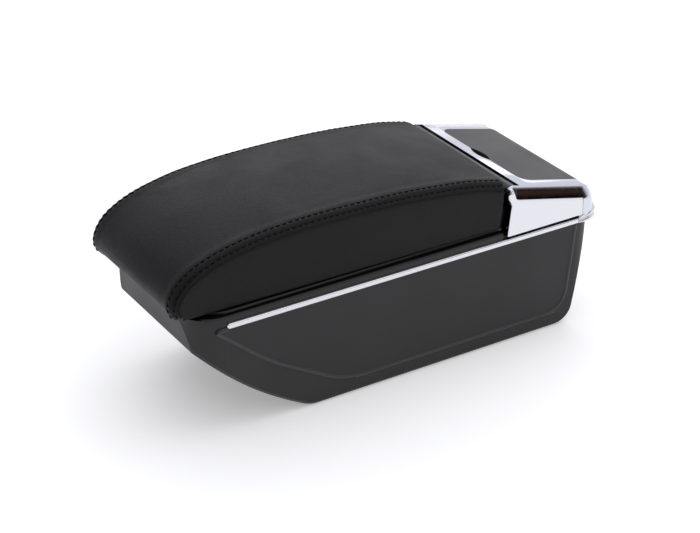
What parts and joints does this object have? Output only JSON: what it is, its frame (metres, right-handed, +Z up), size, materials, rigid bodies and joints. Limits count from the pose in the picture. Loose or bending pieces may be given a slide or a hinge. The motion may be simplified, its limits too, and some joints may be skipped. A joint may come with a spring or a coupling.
{
  "type": "car centre armrest",
  "caption": "Car centre armrest: bowed storage box with bright trim, a hinged padded leather lid that slides forward, and a bright tail with a small ashtray flap",
  "frame": {"origin": "middle of the bounding box, at the level of the box's flat bottom", "axes": "X to the rear along the length, Y across to the left, Z up"},
  "size_m": [0.363, 0.1404, 0.1512],
  "materials": {
    "shell_plastic": "matt dark grey-black moulded plastic, fine texture",
    "rim_black": "gloss black moulded plastic",
    "bright_trim": "bright chrome plating",
    "tail_silver": "satin silver paint on plastic",
    "flap_grey": "matt warm grey moulded plastic",
    "cover_leather": "black synthetic leather, fine pebble grain, stitched seams",
    "pad_foam": "cut polyurethane foam",
    "inner_plastic": "plain black moulded plastic",
    "storage_rubber": "soft black rubber",
    "pin_steel": "plain drawn steel"
  },
  "bodies": {
    "base": {"base_shell": "shell_plastic", "trim_strip_left": "bright_trim", "trim_strip_right": "bright_trim", "rear_bumper": "bright_trim", "rim_frame": "rim_black", "storage_mat": "storage_rubber", "rear_partition": "inner_plastic", "coin_tray": "inner_plastic", "tail_cap": "tail_silver", "tail_housing": "inner_plastic", "cheek_left": "bright_trim", "cheek_right": "bright_trim", "cheek_screws": "pin_steel", "ashtray_bin": "inner_plastic", "hinge_rod": "pin_steel", "hinge_knuckle_left": "rim_black", "hinge_knuckle_right": "rim_black", "ashtray_pin": "pin_steel"},
    "lid": {"lid_pan": "rim_black", "lid_buffers": "storage_rubber"},
    "pad": {"leather_cover": "cover_leather", "foam_pad": "pad_foam", "pad_board": "inner_plastic", "shoe_screws": "pin_steel", "slide_shoe_rear_left": "inner_plastic", "slide_shoe_rear_right": "inner_plastic", "slide_shoe_front_left": "inner_plastic", "slide_shoe_front_right": "inner_plastic"},
    "flap": {"ashtray_lid": "flap_grey"}
  },
  "joints": [
    {"name": "lid_hinge", "type": "hinge", "parent": "base", "child": "lid", "pos_m": [0.0989, 0, 0.1243], "axis": [0, 1, 0], "range_deg": [0, 80]},
    {"name": "pad_slide", "type": "slide", "parent": "lid", "child": "pad", "axis": [-1, 0, 0], "range_m": [0, 0.06]},
    {"name": "ashtray_hinge", "type": "hinge", "parent": "base", "child": "flap", "pos_m": [0.17129, 0, 0.10654], "axis": [0, 1, 0], "range_deg": [0, 85]}
  ]
}
